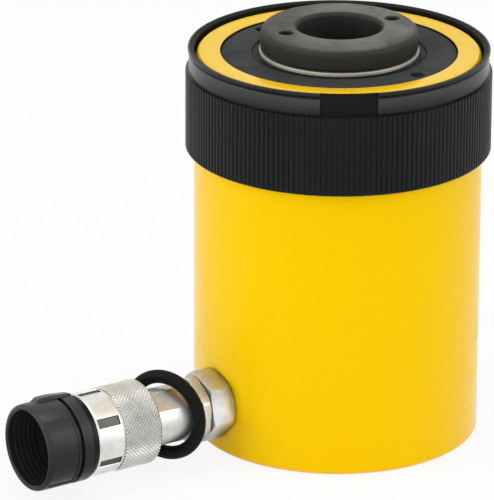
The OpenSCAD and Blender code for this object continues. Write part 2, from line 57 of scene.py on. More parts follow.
MM = 0.001
TURN = 2 * math.pi

# Sizes in millimetres, as in the part's source. R is a radius, Z a height, and U a distance
# from the cylinder's axis along the coupler.
RUN = 0.05
LOOSE = 0.1

# The cylinder
HOLE_R = 16.65
TUBE_R = 22.225
ROD_R = 31.75
BORE_R = 44.45
BODY_R = 57.15
COLLAR_R = 57.0
BODY_H = 158.0
COLLAR_Z = 119.0
BASE_T = 18.0
TUBE_SEAT_Z = 6.0
CROWN_Z = 43.0
GLAND_R = 46.75
GLAND_Z = 140.0
GLAND_TOP = 157.4
GLAND_RING_R = 34.3
WIPER_R = 34.5
ROD_TOP = 158.8
SPIGOT_R = 26.0
SADDLE_R = 31.2
SADDLE_TOP = 168.3

# The thread protector, with ribs below and a smooth part above
PROTECTOR_R = 60.7
PROTECTOR_Z = 118.0
PROTECTOR_TOP = 159.7
SMOOTH_Z = 150.9
SMOOTH_R = 59.3
RIB_COUNT = 180

# The coupler
PORT_Z = 21.0
SPOT_U = 56.65
PORT_U = 46.25
ADAPTER_U = 56.75
ADAPTER_FRONT = 67.55
HEX_U = 68.25
NECK_U = 72.75
NECK_R = 11.5
NOSE_R = 10.5
NOSE_FRONT = 112.45
CHAMBER_R = 7.0
PASSAGE_R = 4.5
THREAD_U = HEX_U - 8.8
GUIDE_FRONT = 82.95
HEAD_U = 102.95
SEAT_U = 106.45
SLEEVE_U = 93.55
SLEEVE_FRONT = 123.05
SLEEVE_R = 16.75
LIP_U = SLEEVE_U + 3.7
SNAP_U = LIP_U + 0.2
SNAP_T = 1.4
MOUTH_R = 14.4
KEEPER_R = 15.9
KEEPER_W = 5.4
KEEPER_U = 82.12

# The sleeve's smooth band
BAND_U = 111.05
BAND_R = 16.65

# The dust cap
CAP_R = 17.4
CAP_MOUTH_R = 15.1
CAP_FRONT = 146.05

# Degrees about the cylinder's axis, from +X, of the spanner holes and the notch
SADDLE_PIN_ANGLE = -9
GLAND_PIN_ANGLE = -77
NOTCH_ANGLE = -121

# Degrees about the coupler's axis, from its top, of a corner of each hexagon, a flat on the
# neck, a slot in the sleeve, and the cap's panel and strap
ADAPTER_TURN = 14
COUPLER_TURN = -4
FLAT_TURN = -34
SLOT_TURN = 4
PANEL_TURN = 92
STRAP_TURN = 12

# Degrees by which the keeper ring leans
KEEPER_LEAN = 25

# Puts what is turned about Z on the coupler's axis, as the part's source does
ALONG_PORT = Matrix.Translation((0, 0, PORT_Z)) @ Matrix.Rotation(-math.pi / 2, 4, "Y")

# The camera stands this far round the part, and the lamps are placed as it sees them
VIEW_TURN = Matrix.Rotation(math.radians(-35), 3, "Z")

WHITE = (1, 1, 1, 1)

# An edge that turns by more degrees than this is shaded sharp
SHARP = 38


# Node trees

def maths(operation, swapped=False):
    """An operator of Wire, which adds a Math node; swapped puts the other value first."""
    def apply(self, other):
        a, b = (other, self) if swapped else (self, other)
        return self.graph.math(operation, a, b)
    return apply


class Wire:
    """A socket that takes part in expressions."""

    def __init__(self, graph, socket):
        self.graph = graph
        self.socket = socket

    __add__ = __radd__ = maths("ADD")
    __sub__ = maths("SUBTRACT")
    __rsub__ = maths("SUBTRACT", swapped=True)
    __mul__ = __rmul__ = maths("MULTIPLY")
    __truediv__ = maths("DIVIDE")
    __mod__ = maths("MODULO")
    __pow__ = maths("POWER")
    at_least = maths("MAXIMUM")
    at_most = maths("MINIMUM")

    def step(self, low, high):
        """0 below low, 1 above high, smooth between."""
        return self.graph.node("ShaderNodeMapRange", {"interpolation_type": "SMOOTHSTEP"},
                               {"Value": self, "From Min": low, "From Max": high})

    def beyond(self, low, high):
        """The same step for a distance, with its limits in millimetres."""
        return self.step(low * MM, high * MM)


class Graph:
    """A node tree under construction."""

    def __init__(self, tree):
        self.tree = tree

    def node(self, kind, settings=None, inputs=None, output=0):
        made = self.tree.nodes.new(kind)
        for key, value in (settings or {}).items():
            setattr(made, key, value)
        for key, value in (inputs or {}).items():
            self.feed(made.inputs[key], value)
        return Wire(self, made.outputs[output])

    def feed(self, socket, value):
        if isinstance(value, Wire):
            self.tree.links.new(value.socket, socket)
        else:
            socket.default_value = value

    def math(self, operation, a, b=0.0):
        return self.node("ShaderNodeMath", {"operation": operation}, {0: a, 1: b})

    def vector(self, x=0.0, y=0.0, z=0.0):
        return self.node("ShaderNodeCombineXYZ", None, {0: x, 1: y, 2: z})

    def split(self, vector):
        """The x, y and z of a vector."""
        first = self.node("ShaderNodeSeparateXYZ", None, {0: vector})
        return [Wire(self, socket) for socket in first.socket.node.outputs]

    def seen(self):
        """1 for what the camera sees, straight, mirrored or through glass, and 0 for light."""
        rays = [self.node("ShaderNodeLightPath", output=f"Is {kind} Ray")
                for kind in ("Camera", "Glossy", "Transmission")]
        return rays[0].at_least(rays[1]).at_least(rays[2])


class Shader(Graph):
    """A material under construction: its Principled shader, and the nodes that feed it."""

    def __init__(self, name, **constants):
        self.material = bpy.data.materials.new(name)
        self.material.use_nodes = True
        super().__init__(self.material.node_tree)
        self.surface = self.tree.nodes["Principled BSDF"]
        self.set(**constants)
        self.place = self.node("ShaderNodeTexCoord", output="Object")

    def set(self, **values):
        """Sets or links the Principled shader's sockets; Coat_Weight stands for Coat Weight."""
        for key, value in values.items():
            self.feed(self.surface.inputs[key.replace("_", " ")], value)

    def mapped(self, move=(0, 0, 0), turn=(0, 0, 0)):
        return self.node("ShaderNodeMapping", None,
                         {"Vector": self.place, "Location": move, "Rotation": turn})

    def noise(self, scale, detail=3.0, roughness=0.5, vector=None):
        return self.node("ShaderNodeTexNoise", None,
                         {"Vector": vector or self.place, "Scale": scale, "Detail": detail,
                          "Roughness": roughness})

    def blend(self, amount, first, second):
        """Mixes two colours."""
        return self.node("ShaderNodeMix", {"data_type": "RGBA"},
                         {0: amount, 6: first, 7: second}, output=2)

    def bump(self, height, strength, distance):
        return self.node("ShaderNodeBump", None,
                         {"Height": height, "Strength": strength, "Distance": distance})

    def height(self):
        return self.split(self.place)[2]

    def round_the_bore(self):
        """Distance from the cylinder's axis, and height."""
        x, y, z = self.split(self.place)
        return (x * x + y * y) ** 0.5, z

    def round_the_port(self):
        """Distance from the coupler's axis, and distance along it, less than 0 on the coupler."""
        x, y, z = self.split(self.mapped(move=(0, 0, -PORT_Z * MM)))
        return (y * y + z * z) ** 0.5, x

    def tool_marks(self, radius, along, pitch):
        """Fine rings that a lathe tool leaves, from the radius and the distance along the axis."""
        stretched = self.vector(radius * (1 / pitch), along * (1 / pitch))
        return self.noise(1.0, 2.0, 0.6, stretched)


def srgb(r, g, b):
    """A linear colour from 0-255 display values."""
    def channel(v):
        v /= 255
        return v / 12.92 if v <= 0.04045 else ((v + 0.055) / 1.055) ** 2.4
    return channel(r), channel(g), channel(b), 1.0


# Finishes, one for each material slot of the record, and the two that share a slot

def yellow_paint():
    """Gloss paint outside; the collar's thread, the bore and the centre hole are bare steel."""
    shader = Shader("yellow_paint", IOR=1.33, Specular_Tint=srgb(255, 205, 70))
    radius, height = shader.round_the_bore()
    collar = radius.beyond(COLLAR_R - 1.7, COLLAR_R - 1.5)
    collar = collar * height.beyond(COLLAR_Z + 0.3, COLLAR_Z + 0.5)
    collar = collar * (1 - height.beyond(BODY_H - 1.3, BODY_H - 1.1))
    bore = 1 - radius.beyond(GLAND_R + 0.2, GLAND_R + 0.3)
    bore = bore * height.beyond(BASE_T - 0.3, BASE_T - 0.1)
    hole = 1 - radius.beyond(HOLE_R + 0.2, HOLE_R + 0.3)
    bare = (collar + bore + hole).at_most(1.0)
    cloud = shader.noise(14.0, 2.0)
    peel = shader.noise(650.0, 2.0)
    dust = shader.noise(90.0, 4.0).step(0.45, 0.75)
    tone = shader.blend(cloud, srgb(255, 209, 3), srgb(253, 203, 2))
    shader.set(Base_Color=shader.blend(bare, tone, srgb(84, 82, 78)),
               Metallic=bare,
               Roughness=0.22 + 0.1 * dust,
               Normal=shader.bump(peel, 0.12, 0.0004))
    return shader.material


def black_moulding():
    """Moulded plastic: satin on the protector's smooth part, painted lighter there as a painted
    sheen; painted nearly black in its notch as painted shade; dull in its notch and in the cap.

    The cap is painted lighter on top and darker below, as painted light from above, and its groove
    and back edge are painted nearly black as painted shade.
    """
    shader = Shader("black_moulding", IOR=1.27, Coat_IOR=1.5, Coat_Roughness=0.14)
    grain = shader.noise(2600.0, 2.0)
    scuff = shader.noise(60.0, 5.0, 0.6).step(0.55, 0.8)
    radius, height = shader.round_the_bore()
    upper = height.beyond(SMOOTH_Z - 0.2, SMOOTH_Z)
    outside = upper * radius.beyond(SMOOTH_R - 0.4, SMOOTH_R - 0.2)
    # Painted shade: the notch recess is painted nearly black
    shaded_notch = upper - outside
    # satin_and_sheen marks the coat, and also a painted sheen that lightens the smooth part, fades
    # downwards and is darker on the bead
    satin_and_sheen = outside * height.beyond(SMOOTH_Z - 1.5, SMOOTH_Z + 6.5)
    satin_and_sheen = satin_and_sheen * (1 - 0.8 * height.beyond(PROTECTOR_TOP - 1.9, PROTECTOR_TOP - 1.5))
    across, along = shader.round_the_port()
    outwards = -1.0 * along
    cap = outwards.beyond(SLEEVE_FRONT - 14, SLEEVE_FRONT - 13)
    cup = outwards.beyond(SLEEVE_FRONT + 5, SLEEVE_FRONT + 6)
    cup = cup * (1 - across.beyond(CAP_MOUTH_R + 0.4, CAP_MOUTH_R + 0.6))
    tone = shader.blend(scuff, srgb(15, 16, 15), srgb(27, 27, 26))
    # Painted sheen: the smooth part lighter
    tone = shader.blend(satin_and_sheen, tone, srgb(58, 58, 59))
    # Painted shade in the notch
    tone = shader.blend(shaded_notch, tone, srgb(2, 2, 2))
    # Painted light from above: the cap lighter on top and darker towards the bottom
    painted_top_light = height.beyond(PORT_Z - 16, PORT_Z + 17)
    tone = shader.blend(cap, tone, shader.blend(painted_top_light, srgb(9, 10, 9), srgb(54, 55, 53)))
    # Painted shade: the cap's groove and its back edge are painted nearly black
    groove = 1 - across.beyond(CAP_R - 0.5, CAP_R - 0.15)
    groove = groove * (1 - outwards.beyond(SLEEVE_FRONT + 9, SLEEVE_FRONT + 9.2))
    edge = 1 - outwards.beyond(SLEEVE_FRONT + 2.4, SLEEVE_FRONT + 3.2)
    tone = shader.blend(cap * groove.at_least(edge), tone, srgb(3, 3, 3))
    tone = shader.blend(cup, tone, srgb(40, 40, 38))
    shader.set(Base_Color=tone,
               Roughness=0.28 + 0.16 * scuff + 0.3 * shaded_notch,
               Coat_Weight=satin_and_sheen * (0.22 - 0.1 * scuff),
               Normal=shader.bump(grain, 0.15, 0.0001))
    return shader.material


def steel(name, colour, worn, rough, pitch=0.3, axis="bore", marks=0.2, patch=40.0, metal=1.0,
          shade=None, dull=0.0, **constants):
    """Turned steel: tool rings round the given axis, and patches where handling changed it.

    pitch is the distance between the rings in millimetres, and marks is how strongly they show.
    shade(shader, radius, along) may give a mask and the colour that the metal takes there, where
    dull makes it rougher too.
    """
    shader = Shader(name, Metallic=metal, **constants)
    radius, along = shader.round_the_port() if axis == "port" else shader.round_the_bore()
    rings = shader.tool_marks(radius, along, pitch * MM)
    patches = shader.noise(patch, 4.0, 0.6).step(0.4, 0.7)
    tone = shader.blend(patches, colour, worn)
    mask = 0.0
    if shade:
        mask, other = shade(shader, radius, along)
        tone = shader.blend(mask, tone, other)
    shader.set(Base_Color=tone,
               Roughness=rough + 0.3 * rough * patches + 0.25 * rough * rings + dull * mask,
               Normal=shader.bump(rings, marks, 0.00004))
    return shader.material


def bare_steel():
    return steel("bare_steel", srgb(176, 176, 172), srgb(158, 157, 152), 0.3)


def rod_steel():
    """Ground and chromed, with painted shade darkening the top bevel, which is duller too."""
    def shaded_bevel(shader, radius, along):
        # Painted shade: the top bevel darkened, and made rougher by dull
        return along.beyond(ROD_TOP - 1.5, ROD_TOP - 1.2), srgb(166, 160, 149)

    return steel("rod_steel", srgb(216, 217, 219), srgb(206, 207, 209), 0.12, pitch=0.2,
                 marks=0.08, shade=shaded_bevel, dull=0.4)


def saddle_steel():
    """Black oxide with its top face painted lighter grey, partly rubbed by loads and partly a
    painted reflection; painted shade makes it darker towards the camera's left.
    """
    def rubbed_and_lit(shader, radius, along):
        cloud = shader.noise(34.0, 2.0, 0.5, shader.mapped(move=(0.03, -0.012, 0)))
        blotch = shader.noise(260.0, 5.0, 0.65).step(0.3, 0.7)
        fleck = shader.noise(1400.0, 2.0, 0.5)
        rightwards = shader.split(shader.mapped(turn=(0, 0, math.radians(35))))[0]
        # Painted light: the top face lighter towards the camera's right, darker to its left
        painted_side_light = 0.5 + 0.5 * rightwards.beyond(-26, -6)
        face = along.beyond(SADDLE_TOP - 1.6, SADDLE_TOP - 0.2)
        face = face * radius.beyond(HOLE_R + 0.8, HOLE_R + 1.6)
        rub = 0.14 + 0.45 * cloud.step(0.4, 0.62) + 0.35 * blotch + 0.2 * fleck
        # The top face painted lighter grey: partly wear from loads, partly a painted reflection
        return face * painted_side_light * rub, srgb(108, 108, 102)

    return steel("saddle_steel", srgb(40, 40, 38), srgb(50, 50, 47), 0.5, pitch=0.4, marks=0.35,
                 metal=0.55, shade=rubbed_and_lit)


def gland_steel():
    """Dull black oxide."""
    return steel("gland_steel", srgb(62, 64, 64), srgb(54, 56, 56), 0.6, pitch=0.4, marks=0.3,
                 metal=0.1, IOR=1.2)


def shaded_underside(shader):
    """1 low on the coupler's fixed parts, darker towards the bottom as painted shade on the
    plating.
    """
    return 1 - shader.height().beyond(PORT_Z - 11, PORT_Z - 2)


def darker_hexagons(shader, outwards):
    """Where the hexagons are painted darker: on top, and against the body as painted shade between
    the parts.
    """
    hexagons = 1 - outwards.beyond(NECK_U, NECK_U + 0.5)
    # Painted shade where the hexagons meet the body
    shade_against_body = 1 - outwards.beyond(ADAPTER_U + 1, ADAPTER_U + 4)
    top = shader.height().beyond(PORT_Z + 5, PORT_Z + 9)
    return hexagons * (0.3 * shade_against_body + 0.3 * top)


def zinc_steel():
    """Bright zinc, with painted shade over the knurl and deeper low in it, in the sleeve's slots,
    and on the hexagon low down and against the body; the hexagon is darker on top too.
    """
    def darkened_places(shader, radius, along):
        outwards = -1.0 * along
        # Painted shade: the knurl darkened, and more low in its valleys
        knurl = along.beyond(-BAND_U, 0.4 - BAND_U) * outwards.beyond(SLEEVE_U, SLEEVE_U + 0.1)
        band = outwards.beyond(BAND_U - 0.1, BAND_U)
        band = band * (1 - outwards.beyond(SLEEVE_FRONT - 0.1, SLEEVE_FRONT))
        low = 1 - radius.beyond(SLEEVE_R - 0.8, SLEEVE_R - 0.2)
        # Painted shade: the floors of the sleeve's slots are painted dark
        slot = 1 - radius.beyond(BAND_R - 0.4, BAND_R - 0.1)
        # Painted shade low on the adapter's hexagon, darker towards the bottom
        dull = 0.45 * shaded_underside(shader) * (1 - outwards.beyond(HEX_U, NECK_U))
        # The hexagon painted darker: shade against the body, and on top
        dull = dull + darker_hexagons(shader, outwards)
        return knurl * (0.16 + 0.38 * low) + 0.94 * band * slot + dull, srgb(62, 61, 58)

    return steel("zinc_steel", srgb(228, 228, 225), srgb(208, 208, 204), 0.32, axis="port",
                 patch=120.0, shade=darkened_places)


def satin_zinc():
    """The same plating on the neck and its hexagon, rubbed dull, with painted shade low down and
    against the body, and darker on top of the hexagon.
    """
    def darkened_places(shader, radius, along):
        # Painted shade low on the neck and its hexagon, and the hexagon's own darkening
        return 0.6 * shaded_underside(shader) + darker_hexagons(shader, -1.0 * along), srgb(62, 61, 58)

    return steel("satin_zinc", srgb(226, 226, 223), srgb(204, 203, 199), 0.4, axis="port",
                 patch=120.0, shade=darkened_places)


def spring_steel():
    return steel("spring_steel", srgb(92, 92, 94), srgb(70, 70, 71), 0.4, pitch=1.0, marks=0.1)


def bronze():
    return steel("bronze", srgb(190, 148, 92), srgb(166, 124, 74), 0.32)


def black_rubber():
    shader = Shader("black_rubber", IOR=1.2)
    skin = shader.noise(1500.0, 3.0)
    dull = shader.noise(120.0, 3.0).step(0.4, 0.7)
    shader.set(Base_Color=shader.blend(dull, srgb(11, 11, 11), srgb(19, 19, 18)),
               Roughness=0.5 + 0.15 * dull,
               Normal=shader.bump(skin, 0.2, 0.0001))
    return shader.material


def white_plastic():
    shader = Shader("white_plastic", IOR=1.45, Subsurface_Weight=0.1,
                    Subsurface_Radius=(0.002, 0.002, 0.0015))
    mottle = shader.noise(300.0, 3.0)
    shader.set(Base_Color=shader.blend(mottle, srgb(232, 228, 214), srgb(222, 217, 200)),
               Roughness=0.42 + 0.08 * mottle)
    return shader.material


def thread_steel():
    """Oiled dark steel of the collar thread, which carries no paint."""
    return steel("thread_steel", srgb(104, 102, 98), srgb(84, 82, 78), 0.3, pitch=0.4)


FINISHES = {make.__name__: make() for make in (
    yellow_paint, black_moulding, bare_steel, rod_steel, saddle_steel, gland_steel, zinc_steel,
    satin_zinc, spring_steel, bronze, black_rubber, white_plastic, thread_steel)}


# Shapes

def soften(points, radius=0.25, steps=3, closed=True):
    """Rounds the corners of a half section; a point's own third number is its radius."""
    out = []
    last = len(points) - 1
    for i, point in enumerate(points):
        own = point[2] if len(point) > 2 else radius
        here = Vector(point[:2])
        if own == 0 or (not closed and i in (0, last)):
            out.append(tuple(here))
            continue
        before = Vector(points[i - 1][:2]) - here
        after = Vector(points[(i + 1) % len(points)][:2]) - here
        half = before.angle(after) / 2
        limit = 0.45 * min(before.length, after.length)
        reach = min(own / math.tan(half), limit)
        depth = reach * math.tan(half) / math.sin(half)
        centre = here + (before.normalized() + after.normalized()).normalized() * depth
        start = here + before.normalized() * reach - centre
        end = here + after.normalized() * reach - centre
        sweep = start.angle_signed(end)
        for k in range(steps + 1):
            out.append(tuple(centre + Matrix.Rotation(-sweep * k / steps, 2) @ start))
    return out


def round_angles(count, extra=()):
    """Angles of a full turn, evenly spaced, with extra ones where a feature has an edge."""
    even = [TURN * i / count for i in range(count)]
    return sorted(set(even) | {a % TURN for a in extra})


def off_nearest(a, first, step):
    """How far an angle is from the nearest of those that come every step from the first."""
    return (a - first + step / 2) % step - step / 2


def inside(off, half, wall):
    """1 in a recess, 0 outside, and between the two on its wall, at an angle from its middle."""
    return min(1, max(0, (half + wall - abs(off)) / wall))


def recess_edges(middles, half, wall):
    return [middle + side * (half + d) for middle in middles for side in (-1, 1) for d in (0, wall)]


def repeated(rows, start, step, count):
    """Rows of (distance, radius) again and again along the axis, for rings and thread relief."""
    return [(start + step * k + u, r) for k in range(count) for u, r in rows]


def shown(name, data):
    """A new object in the scene."""
    made = bpy.data.objects.new(name, data)
    bpy.context.scene.collection.objects.link(made)
    return made


def smooth(mesh, sharp):
    mesh.polygons.foreach_set("use_smooth", [True] * len(mesh.polygons))
    mesh.set_sharp_from_angle(angle=math.radians(sharp))


def finished(name, shell, place=None, sharp=SHARP):
    """Merges doubles, turns faces outwards, and makes the mesh an object with its place applied."""
    bmesh.ops.remove_doubles(shell, verts=shell.verts, dist=1e-6)
    bmesh.ops.dissolve_degenerate(shell, edges=shell.edges, dist=1e-7)
    if place:
        bmesh.ops.transform(shell, matrix=Matrix.Translation(place.translation * MM)
                            @ place.to_3x3().to_4x4(), verts=shell.verts)
    bmesh.ops.recalc_face_normals(shell, faces=shell.faces)
    mesh = bpy.data.meshes.new(name)
    shell.to_mesh(mesh)
    shell.free()
    piece = shown(name, mesh)
    smooth(mesh, sharp)
    return piece


def skin(name, rows, angles, closed=True, place=None):
    """A skin through rings of (height, radius), each a number or a function of the angle."""
    def value(part, angle):
        return part(angle) if callable(part) else part

    shell = bmesh.new()
    rings = []
    for height, radius in rows:
        ring = []
        for a in angles:
            r = value(radius, a)
            ring.append(shell.verts.new((r * math.cos(a) * MM, r * math.sin(a) * MM,
                                         value(height, a) * MM)))
        rings.append(ring)
    pairs = list(zip(rings, rings[1:] + rings[:1])) if closed else list(zip(rings, rings[1:]))
    count = len(angles)
    for low, high in pairs:
        for i in range(count):
            k = (i + 1) % count
            shell.faces.new((low[i], low[k], high[k], high[i]))
    return finished(name, shell, place)


def turned(name, points, place=None, count=160, radius=0.25, closed=True, steps=3):
    """A lathe-turned piece from its half section of (radius, height) points."""
    section = soften(points, radius, steps, closed)
    return skin(name, [(z, r) for r, z in section], round_angles(count), closed, place)


def solid(piece):
    """The piece with its modifiers made real."""
    graph = bpy.context.evaluated_depsgraph_get()
    mesh = bpy.data.meshes.new_from_object(piece.evaluated_get(graph))
    piece.modifiers.clear()
    old = piece.data
    piece.data = mesh
    mesh.name = piece.name
    bpy.data.meshes.remove(old)
    return piece


def drilled(piece, tools):
    """Cuts the tools out of the piece, and removes them."""
    for tool in tools:
        cut = piece.modifiers.new("drill", "BOOLEAN")
        cut.operation = "DIFFERENCE"
        cut.solver = "EXACT"
        cut.object = tool
        solid(piece)
    for tool in tools:
        bpy.data.objects.remove(tool)
    smooth(piece.data, SHARP)
    return piece


def drill(radius, low, high, at=(0, 0), place=None, chamfer=0.3):
    """A drill with a chamfering shoulder at its high end and a point at its low end."""
    side = Matrix.Translation((at[0], at[1], 0))
    points = [(0, low - radius * 0.5), (radius, low), (radius, high - chamfer),
              (radius + chamfer + 1.0, high + 1.0), (0, high + 1.0)]
    return turned("drill", points, (place or Matrix()) @ side, 40, 0, closed=False)


def pin_drills(top, circle_r, degrees):
    """Drills for two opposite holes that take a pin spanner."""
    radius = 3
    depth = 6
    angles = [math.radians(degrees) + side for side in (0, math.pi)]
    return [drill(radius, top - depth, top, (circle_r * math.cos(a), circle_r * math.sin(a)))
            for a in angles]


def bevelled(piece, width):
    edge = piece.modifiers.new("edge", "BEVEL")
    edge.width = width * MM
    edge.segments = 2
    edge.limit_method = "ANGLE"
    edge.angle_limit = math.radians(25)
    solid(piece)
    smooth(piece.data, SHARP)
    return piece


def fitted(piece, body, finish, *nodes, slot=None):
    """Gives the piece its finish and its body, and has it stand for CAD nodes."""
    piece.data.materials.clear()
    piece.data.materials.append(FINISHES[finish])
    for polygon in piece.data.polygons:
        polygon.material_index = 0
    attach(piece, body)
    if nodes:
        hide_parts(*nodes)
    return piece


# Geometry Nodes

class Pattern(Graph):
    """A Geometry Nodes tree with named sizes, ending in Realize Instances and Set Material."""

    def __init__(self, name, **sizes):
        super().__init__(bpy.data.node_groups.new(name, "GeometryNodeTree"))
        face = self.tree.interface
        face.new_socket("Geometry", in_out="INPUT", socket_type="NodeSocketGeometry")
        self.keys = {key: face.new_socket(key, in_out="INPUT",
                                          socket_type="NodeSocket" + kind).identifier
                     for key, kind in sizes.items()}
        face.new_socket("Geometry", in_out="OUTPUT", socket_type="NodeSocketGeometry")
        self.sizes = self.tree.nodes.new("NodeGroupInput").outputs

    def size(self, key):
        return Wire(self, self.sizes[key])

    def row(self, count):
        """Points in a row, all at the origin, and each point's number."""
        points = self.node("GeometryNodeMeshLine", None, {"Count": count, "Offset": (0, 0, 0)})
        return points, self.node("GeometryNodeInputIndex")

    def wound(self, points, radius, angle, height=0.0):
        """Moves the points onto a cylinder about Z."""
        x = radius * self.math("COSINE", angle)
        y = radius * self.math("SINE", angle)
        return self.node("GeometryNodeSetPosition", None,
                         {"Geometry": points, "Position": self.vector(x, y, height)})

    def copies(self, points, shape, angle):
        return self.node("GeometryNodeInstanceOnPoints", None,
                         {"Points": points, "Instance": shape, "Rotation": self.vector(z=angle)})

    def finish(self, geometry, finish):
        real = self.node("GeometryNodeRealizeInstances", None, {0: geometry})
        dressed = self.node("GeometryNodeSetMaterial", None,
                            {"Geometry": real, "Material": FINISHES[finish]})
        self.feed(self.tree.nodes.new("NodeGroupOutput").inputs[0], dressed)
        return self

    def grown(self, name, values, place=None, sharp=SHARP):
        """Runs the tree with the given sizes and returns its result as a plain mesh piece."""
        piece = shown(name, bpy.data.meshes.new(name))
        run = piece.modifiers.new(name, "NODES")
        run.node_group = self.tree
        for key, value in values.items():
            run[self.keys[key]] = value
        solid(piece)
        shell = bmesh.new()
        shell.from_mesh(piece.data)
        bpy.data.objects.remove(piece)
        return finished(name, shell, place, sharp)


def rib_pattern():
    """Upright ribs round a ring, each a slim bar with eight sides."""
    tree = Pattern("protector_ribs", Count="Int", Radius="Float", Length="Float", Width="Float",
                   Depth="Float")
    count = tree.size("Count")
    points, index = tree.row(count)
    angle = index * TURN / count
    ring = tree.wound(points, tree.size("Radius"), angle)
    bar = tree.node("GeometryNodeMeshCylinder", None, {"Vertices": 8, "Radius": 1.0, "Depth": 1.0})
    size = tree.vector(tree.size("Depth"), tree.size("Width"), tree.size("Length"))
    shaped = tree.node("GeometryNodeTransform", None, {"Geometry": bar, "Scale": size})
    return tree.finish(tree.copies(ring, shaped, angle), "black_moulding")


def knurl_pattern():
    """Rows of low pyramids round a cylinder, every second row set half a step on."""
    tree = Pattern("sleeve_knurl", Count="Int", Rows="Int", Radius="Float", Step="Float",
                   Width="Float", Height="Float")
    count = tree.size("Count")
    points, index = tree.row(count * tree.size("Rows"))
    row = tree.math("FLOOR", (index + 0.5) / count)
    angle = (index + row % 2.0 * 0.5) * TURN / count
    spread = tree.wound(points, tree.size("Radius"), angle, row * tree.size("Step"))
    tooth = tree.node("GeometryNodeMeshCone", {"fill_type": "NONE"},
                      {"Vertices": 4, "Radius Top": 0.3, "Radius Bottom": 1.0, "Depth": 1.0})
    size = tree.vector(tree.size("Step"), tree.size("Width"), tree.size("Height"))
    low = tree.node("GeometryNodeTransform", None, {"Geometry": tooth, "Scale": size})
    upright = tree.node("GeometryNodeTransform", None,
                        {"Geometry": low, "Rotation": (0, math.pi / 2, 0)})
    return tree.finish(tree.copies(spread, upright, angle), "zinc_steel")


def coil_pattern(name, finish, sides):
    """A wire wound in a helix, with closed turns at each end where Closed isn't 0."""
    tree = Pattern(name, Steps="Int", Turns="Float", Closed="Float", Radius="Float",
                   Height="Float", Wire="Float")
    turns = tree.size("Turns")
    closed = tree.size("Closed")
    wire = tree.size("Wire")
    points, index = tree.row(tree.size("Steps") + 1)
    turn = index * turns / tree.size("Steps")
    rise = (tree.size("Height") - wire * 2.0 * closed) / (turns - 2.0 * closed)
    open_end = turns - closed
    height = turn.at_most(closed) * wire
    height = height + (turn.at_most(open_end) - closed).at_least(0.0) * rise
    height = height + (turn - open_end).at_least(0.0) * wire
    helix = tree.wound(points, tree.size("Radius"), turn * TURN, height)
    path = tree.node("GeometryNodeMeshToCurve", None, {"Mesh": helix})
    upright = tree.node("GeometryNodeSetCurveNormal", {"mode": "Z_UP"}, {"Curve": path})
    profile = tree.node("GeometryNodeCurvePrimitiveCircle", None,
                        {"Resolution": sides, "Radius": wire * 0.5})
    swept = tree.node("GeometryNodeCurveToMesh", None,
                      {"Curve": upright, "Profile Curve": profile, "Fill Caps": True})
    return tree.finish(swept, finish)


# The cylinder

def cylinder_body():
    root = COLLAR_R - 0.75
    tube_r = TUBE_R + RUN
    recess_r = GLAND_R + LOOSE
    points = [(HOLE_R, 0, 0.3), (BODY_R - 1.2, 0, 0.8), (BODY_R, 1.2, 0.8),
              (BODY_R, COLLAR_Z, 0.3), (root, COLLAR_Z + 0.6), (root, BODY_H - 0.9, 0.3),
              (root - 0.9, BODY_H, 0.3), (recess_r, BODY_H, 0.4), (recess_r, GLAND_Z),
              (BORE_R, GLAND_Z), (BORE_R, BASE_T, 1), (tube_r, BASE_T), (tube_r, TUBE_SEAT_Z),
              (HOLE_R, TUBE_SEAT_Z)]
    piece = turned("cylinder_shell", points, count=256)
    oil_way = drill(2.2, 39, 48, place=ALONG_PORT, chamfer=0)
    port = drill(7.6, PORT_U, SPOT_U, place=ALONG_PORT)
    spot_r = 13.7
    outside = BODY_R + 2.85
    spot_face = turned("drill", [(0, SPOT_U), (spot_r, SPOT_U), (spot_r, outside), (0, outside)],
                       ALONG_PORT, 96, 0, closed=False)
    upside_down = Matrix.Rotation(math.pi, 4, "X")
    circle_r = BODY_R - 11.05
    base_holes = [drill(3.97, -13.5, 0, (0, side * circle_r), upside_down, 0.5)
                  for side in (-1, 1)]
    fitted(drilled(piece, [oil_way, port, spot_face] + base_holes), "body", "yellow_paint",
           "cylinder_body")


def collar_thread():
    pitch = 2.117
    turns = 16
    steps_a_turn = 128
    piece = coil_pattern("collar_thread", "thread_steel", 4).grown("collar_thread", {
        "Steps": steps_a_turn * turns, "Turns": float(turns), "Closed": 0.0,
        "Radius": (COLLAR_R - 0.85) * MM, "Height": turns * pitch * MM, "Wire": 1.9 * MM},
        Matrix.Translation((0, 0, COLLAR_Z + 2)))
    fitted(piece, "body", "thread_steel", slot="bare_steel")


